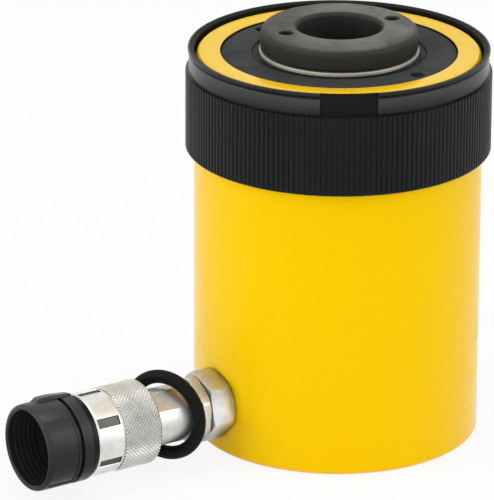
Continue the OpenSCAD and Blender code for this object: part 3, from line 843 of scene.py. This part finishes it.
def thread_protector():
    """The moulded ring with a shallow notch in its smooth part, and its ribs."""
    bore = BODY_R + 0.12
    root = PROTECTOR_R - 0.45
    rib_z = PROTECTOR_Z + 0.7
    rib_top = SMOOTH_Z - 0.7
    cove_r = SMOOTH_R - 0.4
    rim_z = PROTECTOR_TOP - 1.8
    rim_r = PROTECTOR_R - 0.9
    notch_r = SMOOTH_R - 0.6
    middle = math.radians(NOTCH_ANGLE)
    half = math.radians(10.69)
    wall = math.radians(0.25)

    def notched(radius):
        depth = max(0, radius - notch_r)
        return lambda a: radius - depth * inside(off_nearest(a, middle, TURN), half, wall)

    lower = soften([(bore, PROTECTOR_Z), (root - 0.3, PROTECTOR_Z), (root, PROTECTOR_Z + 0.6, 0.1),
                    (root, rib_top, 0.1), (SMOOTH_R, rib_top + 0.1, 0.1),
                    (SMOOTH_R, SMOOTH_Z - 0.4, 0.1)], 0.3, closed=False)
    upper = soften([(SMOOTH_R, SMOOTH_Z - 0.35), (SMOOTH_R, SMOOTH_Z, 0.1),
                    (SMOOTH_R + 0.3, SMOOTH_Z, 0.12), (SMOOTH_R, rim_z - 1, 0.2),
                    (cove_r, rim_z - 0.6, 0.2), (cove_r, rim_z + 0.1, 0.2),
                    (rim_r, rim_z + 0.6, 0.25), (rim_r, PROTECTOR_TOP, 0.8),
                    (rim_r - 1, PROTECTOR_TOP - 0.05, 0.2), (bore, PROTECTOR_TOP - 0.6, 0.2),
                    (bore, PROTECTOR_TOP - 1.2)], 0.3, 5, closed=False)
    rows = [(z, r) for r, z in lower] + [(z, notched(r)) for r, z in upper]
    piece = skin("protector_ring", rows, round_angles(240, recess_edges([middle], half, wall)))
    fitted(piece, "thread_protector", "black_moulding", "thread_protector")
    ribs = rib_pattern().grown("protector_ribs", {
        "Count": RIB_COUNT, "Radius": (root - 0.1) * MM, "Length": (rib_top - rib_z) * MM,
        "Width": 0.82 * MM, "Depth": 0.55 * MM},
        Matrix.Translation((0, 0, (rib_top + rib_z) / 2)))
    fitted(ribs, "thread_protector", "black_moulding")


def gland_nut():
    wiper_z = GLAND_TOP - 4.5
    bush_top = GLAND_Z + 9
    rod_way = ROD_R + 0.2
    points = [(GLAND_RING_R, GLAND_Z), (GLAND_R, GLAND_Z), (GLAND_R, GLAND_TOP - 0.6, 0.1),
              (GLAND_R - 0.6, GLAND_TOP, 0.1), (WIPER_R, GLAND_TOP, 0.3), (WIPER_R, wiper_z),
              (rod_way, wiper_z), (rod_way, bush_top), (GLAND_RING_R, bush_top)]
    piece = turned("gland_ring", points, count=192)
    holes = pin_drills(GLAND_TOP, 41, GLAND_PIN_ANGLE)
    fitted(drilled(piece, holes), "body", "gland_steel", "gland_nut")


def rod_wiper():
    z = GLAND_TOP
    r = ROD_R + RUN
    outer = WIPER_R - LOOSE
    points = [(r + 0.35, z - 4.4), (outer, z - 4.4), (outer, z - 0.4), (r + 1.4, z - 0.4),
              (r + 0.7, z + 0.1), (r, z + 0.1), (r + 0.35, z - 1.4)]
    fitted(turned("rod_wiper_lip", points, radius=0.15), "body", "black_rubber", "rod_wiper")


def plunger():
    """The rod and its piston, with a groove outside and inside for each seal and wear ring."""
    inner = TUBE_R + RUN
    piston = BORE_R - RUN
    foot_r = BORE_R - 4.5
    foot_top = 24.5
    socket_z = ROD_TOP - 10
    seal_z, seal_top, seal_depth = 26.2, 34.1, 4.9
    wear_z, wear_top, wear_depth = 35.8, 39.8, 2.2

    def groove(wall, start, end, depth):
        return [(wall, start), (wall + depth, start), (wall + depth, end), (wall, end)]

    points = [(inner, BASE_T), (foot_r, BASE_T), (foot_r, foot_top), (piston, foot_top)]
    points += groove(piston, seal_z, seal_top, -seal_depth)
    points += groove(piston, wear_z, wear_top, -wear_depth)
    points += [(piston, CROWN_Z, 1), (ROD_R, CROWN_Z, 1), (ROD_R, ROD_TOP, 0.6),
               (SPIGOT_R, ROD_TOP, 0.3), (SPIGOT_R, socket_z), (inner, socket_z)]
    points += groove(inner, wear_top, wear_z, wear_depth)
    points += groove(inner, seal_top, seal_z, seal_depth)
    fitted(turned("plunger_rod", points, count=192, radius=0.2), "plunger", "rod_steel", "plunger")


def saddle():
    spigot_z = ROD_TOP - 9.6
    spigot_r = SPIGOT_R - LOOSE
    points = [(HOLE_R, spigot_z), (spigot_r, spigot_z), (spigot_r, ROD_TOP),
              (SADDLE_R - 1, ROD_TOP), (SADDLE_R, ROD_TOP + 1), (SADDLE_R, SADDLE_TOP, 3.4),
              (HOLE_R, SADDLE_TOP, 2.0)]
    piece = turned("saddle_ring", points, count=192, steps=8)
    holes = pin_drills(SADDLE_TOP, 23.2, SADDLE_PIN_ANGLE)
    fitted(drilled(piece, holes), "saddle", "saddle_steel", "saddle")


# The coupler

def hexagon_angles(corner):
    """Angles close to each corner of a hexagon, where its bevels curve most."""
    close = (0, 0.6, 1.2, 1.8, 2.4, 3, 4, 5, 6, 8)
    return [math.radians(corner + 60 * k + side * d) for k in range(6) for side in (-1, 1)
            for d in close]


def hexagon_rows(width, corner, u0, u1, bevel0, bevel1):
    """The rows of a hexagonal bar between two faces, with a turned bevel at each."""
    corner_r = width / 2 / math.cos(math.pi / 6)
    round_off = 0.35

    def reach(a):
        off = off_nearest(a, math.radians(corner + 30), TURN / 6)
        return min(width / 2 / math.cos(off), corner_r - round_off)

    def face(bevel):
        return lambda a: min(reach(a), corner_r - bevel)

    def rise(bevel, slope):
        return lambda a: max(0, reach(a) - (corner_r - bevel)) * slope

    low = rise(bevel0, 0.8)
    high = rise(bevel1, 0.6)
    return [(u0, face(bevel0)), (lambda a: u0 + low(a), reach),
            (lambda a: u1 - high(a), reach), (u1, face(bevel1))]


def port_adapter():
    """The hexagon against the body, with a thread into the port and a socket in front."""
    back = PORT_U + 0.5
    root = 6.9
    crest = 7.55
    socket_r = NECK_R - 2.5 + RUN
    socket_u = THREAD_U - LOOSE
    rows = [(back, PASSAGE_R), (back, 6.6), (back + 0.95, crest)]
    rows += repeated(((0, crest), (0.7, root), (1.1, root), (1.8, crest)), back + 1.65, 1.8, 4)
    rows += [(ADAPTER_U, crest)]
    rows += hexagon_rows(25.4, ADAPTER_TURN, ADAPTER_U, ADAPTER_FRONT, 2.6, 1.2)
    rows += [(ADAPTER_FRONT, socket_r), (socket_u, socket_r), (socket_u, PASSAGE_R)]
    piece = skin("adapter_hexagon", rows, round_angles(120, hexagon_angles(ADAPTER_TURN)),
                 place=ALONG_PORT)
    fitted(bevelled(piece, 0.12), "body", "zinc_steel", "port_adapter")


def coupler_washer():
    hole_r = 9.1
    rim_r = NECK_R - 0.1
    points = [(hole_r, ADAPTER_FRONT), (rim_r, ADAPTER_FRONT), (rim_r, HEX_U), (hole_r, HEX_U)]
    fitted(turned("coupler_washer_ring", points, ALONG_PORT, 96, 0.2), "body", "bare_steel",
           "coupler_washer")


def coupler_body():
    """Thread, narrow hexagon, neck with two flats, snap-ring groove, nose, and the valve's room."""
    flat_r = NECK_R - 1
    flat_half = math.degrees(math.acos(flat_r / NECK_R))
    root = 8.4
    crest = NECK_R - 2.5
    snap_groove_r = 10.3
    seal_u = NOSE_FRONT - 6.4
    seal_front = seal_u + 2.4
    seal_r = 8.8
    seat_r = 4.6

    def flats(a):
        off = off_nearest(a, math.radians(FLAT_TURN), math.pi)
        return min(NECK_R, flat_r / max(0.1, math.cos(off)))

    angles = hexagon_angles(COUPLER_TURN)
    angles += [math.radians(FLAT_TURN + half_turn + side * (flat_half + d))
               for half_turn in (0, 180) for side in (-1, 1) for d in (-1, 0, 0.5)]
    rows = [(THREAD_U, PASSAGE_R), (THREAD_U, 8), (THREAD_U + 1, crest)]
    rows += repeated(((0, crest), (0.6, root), (0.9, root), (1.5, crest)), THREAD_U + 1.4, 1.6, 4)
    rows += [(HEX_U, crest)]
    rows += hexagon_rows(24.6, COUPLER_TURN, HEX_U, NECK_U, 1.2, 1.4)
    rows += [(NECK_U, NECK_R + 0.4), (NECK_U + 0.2, NECK_R + 0.1), (NECK_U + 0.5, NECK_R),
             (NECK_U + 2, NECK_R), (NECK_U + 2.05, flats), (NECK_U + 18.75, flats),
             (NECK_U + 18.8, NECK_R)]
    rows += [(SNAP_U - LOOSE, NECK_R), (SNAP_U - LOOSE, snap_groove_r),
             (SNAP_U + SNAP_T + LOOSE, snap_groove_r), (SNAP_U + SNAP_T + LOOSE, NECK_R - 0.1)]
    rows += [(SNAP_U + 2, NOSE_R), (seal_u, NOSE_R), (seal_u, seal_r), (seal_front, seal_r),
             (seal_front, NOSE_R), (NOSE_FRONT - 1, NOSE_R), (NOSE_FRONT - 0.3, NOSE_R - 0.4),
             (NOSE_FRONT, NOSE_R - 1), (NOSE_FRONT, seat_r + 0.3), (NOSE_FRONT - 0.3, seat_r)]
    rows += [(SEAT_U + 3, seat_r), (SEAT_U, CHAMBER_R), (GUIDE_FRONT - 3.5, CHAMBER_R),
             (GUIDE_FRONT - 3.5, PASSAGE_R)]
    piece = skin("coupler_neck", rows, round_angles(120, angles), place=ALONG_PORT)
    fitted(bevelled(piece, 0.1), "body", "satin_zinc", "coupler_body", slot="zinc_steel")


def coupler_sleeve():
    """The knurled sleeve, with a smooth band of shallow flat slots and a thread in its mouth."""
    slots = 6
    step = TURN / slots
    first = math.radians(SLOT_TURN)
    half = 1.7 / BAND_R
    wall = 0.015
    knurl_r = SLEEVE_R - 0.55
    neck_way = NECK_R + RUN
    root = MOUTH_R + 0.6

    def slotted(a):
        off = off_nearest(a, first, step)
        depth = max(0, BAND_R - (BAND_R - 0.6) / math.cos(off))
        return BAND_R - depth * inside(off, half, wall)

    rows = [(SLEEVE_U, neck_way), (SLEEVE_U, SLEEVE_R - 1.2), (SLEEVE_U + 0.15, SLEEVE_R - 0.9),
            (SLEEVE_U + 0.9, SLEEVE_R - 0.25), (SLEEVE_U + 1.2, knurl_r), (BAND_U - 0.5, knurl_r),
            (BAND_U - 0.3, BAND_R - 0.5), (BAND_U, BAND_R - 0.5), (BAND_U + 0.3, BAND_R - 0.1),
            (BAND_U + 0.5, BAND_R), (BAND_U + 1, BAND_R), (BAND_U + 1.1, slotted),
            (SLEEVE_FRONT - 1.1, slotted), (SLEEVE_FRONT - 1, BAND_R),
            (SLEEVE_FRONT - 0.6, BAND_R), (SLEEVE_FRONT - 0.2, BAND_R - 0.2),
            (SLEEVE_FRONT, BAND_R - 0.6), (SLEEVE_FRONT, root)]
    rows += repeated(((0, MOUTH_R), (-0.8, root), (-1.0, root)), SLEEVE_FRONT - 1, -1.8, 12)
    rows += [(LIP_U, MOUTH_R), (LIP_U, neck_way)]
    edges = recess_edges([first + step * k for k in range(slots)], half, wall)
    piece = skin("coupler_sleeve_shell", rows, round_angles(144, edges), place=ALONG_PORT)
    fitted(piece, "sleeve", "zinc_steel", "coupler_sleeve")
    teeth = knurl_pattern().grown("sleeve_knurl", {
        "Count": 64, "Rows": 20, "Radius": (knurl_r + 0.24) * MM, "Step": 0.8 * MM,
        "Width": 0.81 * MM, "Height": 0.52 * MM},
        ALONG_PORT @ Matrix.Translation((0, 0, SLEEVE_U + 1.1)), sharp=20)
    fitted(teeth, "sleeve", "zinc_steel")


def sleeve_retaining_ring():
    inner = 10.4
    outer = MOUTH_R - 0.6
    front = SNAP_U + SNAP_T
    points = [(inner, SNAP_U), (outer, SNAP_U), (outer, front), (inner, front)]
    fitted(turned("snap_ring", points, ALONG_PORT, 96), "body", "spring_steel",
           "sleeve_retaining_ring")


def dust_cap():
    """A threaded plug, a collar, a groove, and an open cup with two shallow grip panels."""
    plug_u = SLEEVE_FRONT - 14
    plug_r = 11.4
    root = 13.6
    crest = 14.15
    back = SLEEVE_FRONT + LOOSE
    groove_u = SLEEVE_FRONT + 7.4
    groove_r = CAP_R - 1
    panel_u = groove_u + 2.2
    floor_u = CAP_FRONT - 17
    ring_r = CAP_MOUTH_R + 0.3
    first = math.radians(PANEL_TURN)
    half = math.radians(50)
    wall = 0.02

    def panelled(a):
        return CAP_R - 0.4 * inside(off_nearest(a, first, math.pi), half, wall)

    rows = [(NOSE_FRONT + 1, 0), (NOSE_FRONT + 1, plug_r), (plug_u, plug_r), (plug_u, 13.3)]
    rows += repeated(((0, root), (0.7, crest), (0.9, crest), (1.6, root)), plug_u + 0.55, 1.8, 7)
    rows += [(back, root), (back, CAP_R - 1), (back + 1.05, CAP_R - 0.9),
             (back + 1.45, CAP_R - 0.3), (back + 1.75, CAP_R)]
    rows += [(groove_u - 0.45, CAP_R), (groove_u - 0.2, CAP_R - 0.3), (groove_u, groove_r),
             (groove_u + 1.2, groove_r), (groove_u + 1.4, CAP_R - 0.3), (groove_u + 1.65, CAP_R)]
    rows += [(panel_u, CAP_R), (panel_u + 0.15, panelled), (CAP_FRONT - 2.15, panelled),
             (CAP_FRONT - 2, CAP_R - 0.05), (CAP_FRONT - 1, CAP_R - 0.1),
             (CAP_FRONT - 0.4, CAP_R - 0.35), (CAP_FRONT, CAP_R - 1),
             (CAP_FRONT, CAP_MOUTH_R + 0.6), (CAP_FRONT - 0.6, CAP_MOUTH_R)]
    rows += repeated(((0, CAP_MOUTH_R), (-0.7, ring_r), (-1.0, ring_r), (-1.7, CAP_MOUTH_R)),
                     CAP_FRONT - 2, -2.1, 6)
    rows += [(floor_u + 0.25, CAP_MOUTH_R), (floor_u, CAP_MOUTH_R - 0.4), (floor_u, 0)]
    edges = recess_edges([first, first + math.pi], half, wall)
    piece = skin("dust_cap_shell", rows, round_angles(144, edges), closed=False, place=ALONG_PORT)
    fitted(piece, "dust_cap", "black_moulding", "dust_cap")
    lanyard_loop()


def lanyard_loop():
    """The small strap over the cap's groove, on top towards the far side."""
    half_width = 2.5
    edge = 0.3
    back = SLEEVE_FRONT + 2
    front = CAP_FRONT - 5
    top = [(back, CAP_R + 0.2), (back + 0.25, CAP_R + 0.6), (back + 2.95, CAP_R + 0.9),
           (back + 8.95, CAP_R + 1.5), (front - 2.05, CAP_R + 1.3), (front, CAP_R)]
    low = [(back, CAP_R - 0.3), (back + 2.45, CAP_R - 0.3), (back + 4.35, CAP_R - 0.2),
           (back + 7.65, CAP_R - 0.2), (back + 9.45, CAP_R - 0.5), (front, CAP_R - 0.5)]
    shell = bmesh.new()
    rows = []
    for (top_u, top_r), (low_u, low_r) in zip(top, low):
        outline = [(top_r - 0.4, -half_width, top_u), (top_r, edge - half_width, top_u),
                   (top_r, half_width - edge, top_u), (top_r - 0.4, half_width, top_u),
                   (low_r, half_width, low_u), (low_r, -half_width, low_u)]
        rows.append([shell.verts.new(Vector(point) * MM) for point in outline])
    for a, b in zip(rows, rows[1:]):
        for i in range(6):
            k = (i + 1) % 6
            shell.faces.new((a[i], a[k], b[k], b[i]))
    shell.faces.new(rows[0])
    shell.faces.new(rows[-1])
    turn = Matrix.Rotation(math.radians(STRAP_TURN), 4, "Z")
    piece = finished("lanyard_loop", shell, ALONG_PORT @ turn)
    fitted(piece, "dust_cap", "black_moulding")


def keeper_ring():
    lean = Matrix.Rotation(math.radians(KEEPER_LEAN), 4, "X")
    half = KEEPER_W / 2
    sides = 32
    section = [TURN * k / sides for k in range(sides)]
    rows = [(half * math.sin(a), KEEPER_R + half * math.cos(a)) for a in section]
    piece = skin("keeper_ring_loop", rows, round_angles(128),
                 place=ALONG_PORT @ Matrix.Translation((0, 0, KEEPER_U)) @ lean)
    fitted(piece, "keeper_ring", "black_rubber", "dust_cap_ring")


def valve():
    stem_r = 2
    tip_r = 2.2
    head_r = CHAMBER_R - 0.6
    back = GUIDE_FRONT - 4.5
    front = NOSE_FRONT - 0.6
    points = [(0, back), (stem_r, back), (stem_r, HEAD_U), (head_r, HEAD_U),
              (head_r, SEAT_U - 0.2), (3.9, SEAT_U + 2.6), (tip_r, SEAT_U + 2.6),
              (tip_r, front, 0.6), (0, front)]
    fitted(turned("valve_poppet_head", points, ALONG_PORT, 96, closed=False), "valve", "bronze",
           "valve_poppet", slot="bronze")


def spring(node, coil_r, wire, turns, low, high, place=None):
    """A spring with closed ends between two faces, in place of its CAD node."""
    gap = 0.1
    piece = coil_pattern(node, "spring_steel", 12).grown(node + "_coil", {
        "Steps": int(turns * 40), "Turns": turns, "Closed": 0.75, "Radius": coil_r * MM,
        "Height": (high - low - 2 * gap - wire) * MM, "Wire": wire * MM},
        (place or Matrix()) @ Matrix.Translation((0, 0, low + gap + wire / 2)))
    return fitted(piece, "body", "spring_steel", node)


def return_spring():
    piece = spring("return_spring", coil_r=(ROD_R + BORE_R) / 2, wire=6.5, turns=4.5,
                   low=CROWN_Z, high=GLAND_Z)
    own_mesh(piece)


def valve_spring():
    piece = spring("valve_spring", coil_r=4.2, wire=1, turns=7.0, low=GUIDE_FRONT, high=HEAD_U,
                   place=ALONG_PORT)
    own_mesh(piece)


def dress_inner_nodes():
    """Finishes for the CAD nodes that stay as they are."""
    for node, finish in {
            "center_tube": "bare_steel", "tube_seal": "black_rubber", "gland_bush": "bronze",
            "piston_outer_cup": "black_rubber", "piston_outer_backup": "white_plastic",
            "piston_outer_wear_ring": "bronze", "piston_inner_cup": "black_rubber",
            "piston_inner_backup": "white_plastic", "piston_inner_wear_ring": "bronze",
            "nose_seal": "black_rubber", "valve_guide": "bare_steel"}.items():
        slots = frame["nodes"][node].data.materials
        if len(slots):
            for i in range(len(slots)):
                slots[i] = FINISHES[finish]
        else:
            slots.append(FINISHES[finish])


# The stage

def camera():
    """The photograph's view: 2 m off, 0.82 m up, looking down at the part."""
    pitch, yaw, roll = (math.radians(v) for v in (20.42, -1.03, 0.30))
    ahead = Vector((math.sin(yaw) * math.cos(pitch), math.cos(yaw) * math.cos(pitch),
                    -math.sin(pitch)))
    right = ahead.cross(Vector((0, 0, 1))).normalized()
    up = right.cross(ahead)
    right, up = (math.cos(roll) * right + math.sin(roll) * up,
                 math.cos(roll) * up - math.sin(roll) * right)
    data = bpy.data.cameras.new("photo_view")
    data.lens = 383.8
    data.clip_start = 0.05
    data.clip_end = 50
    view = shown("photo_view", data)
    axes = Matrix((VIEW_TURN @ right, VIEW_TURN @ up, VIEW_TURN @ -ahead)).transposed()
    at = VIEW_TURN @ Vector((0, -2.0, 0.818))
    view.matrix_world = Matrix.Translation(at) @ axes.to_4x4()
    bpy.context.scene.camera = view


def floor():
    """Pale paper a little under the part, which glows where it is seen and keeps the shadow."""
    side = 6.0
    z = -0.0004
    mesh = bpy.data.meshes.new("floor")
    mesh.from_pydata([(-side, -side, z), (side, -side, z), (side, side, z), (-side, side, z)],
                     [], [(0, 1, 2, 3)])
    shader = Shader("floor_paper", Roughness=0.9, Base_Color=(0.93, 0.93, 0.93, 1))
    paper = Wire(shader, shader.surface.outputs[0])
    glow = shader.node("ShaderNodeEmission", None, {"Color": WHITE, "Strength": 1.0})
    mixed = shader.node("ShaderNodeMixShader", None, {0: 0.88 * shader.seen(), 1: paper, 2: glow})
    shader.feed(shader.tree.nodes["Material Output"].inputs["Surface"], mixed)
    mesh.materials.append(shader.material)
    shown("floor", mesh)


def world():
    """White where it is seen, and a softer light on the part."""
    light = 0.45
    sky = bpy.data.worlds.new("studio")
    bpy.context.scene.world = sky
    sky.use_nodes = True
    graph = Graph(sky.node_tree)
    back = graph.tree.nodes["Background"].inputs
    graph.feed(back["Color"], WHITE)
    graph.feed(back["Strength"], light + (1 - light) * graph.seen())


def lamp(name, right, nearer, up, size, power):
    """A soft box, placed to the right of the picture's middle and towards the camera."""
    data = bpy.data.lights.new(name, "AREA")
    data.shape = "RECTANGLE"
    data.size, data.size_y = size
    data.energy = power
    made = shown(name, data)
    at = VIEW_TURN @ Vector((right, -nearer, up))
    aim = Vector((0, 0, 0.08)) - at
    made.rotation_mode = "QUATERNION"
    made.rotation_quaternion = aim.to_track_quat("-Z", "Y")
    made.location = at


def lamps():
    lamp("left_box", -1.8, 0.6, 1.1, (1.6, 1.6), 15.6)
    lamp("right_box", 1.9, 0.5, 0.9, (1.0, 1.6), 12)
    lamp("top_box", 0.0, 0.0, 2.0, (0.9, 0.9), 10.5)
    lamp("low_box", -0.4, 1.3, 0.35, (1.2, 0.5), 3.3)


camera()
for build in (cylinder_body, collar_thread, thread_protector, gland_nut, rod_wiper, plunger, saddle,
              port_adapter, coupler_washer, coupler_body, coupler_sleeve, sleeve_retaining_ring,
              dust_cap, keeper_ring, valve, return_spring, valve_spring, dress_inner_nodes, floor,
              world, lamps):
    build()
bpy.context.scene.view_settings.view_transform = "Standard"
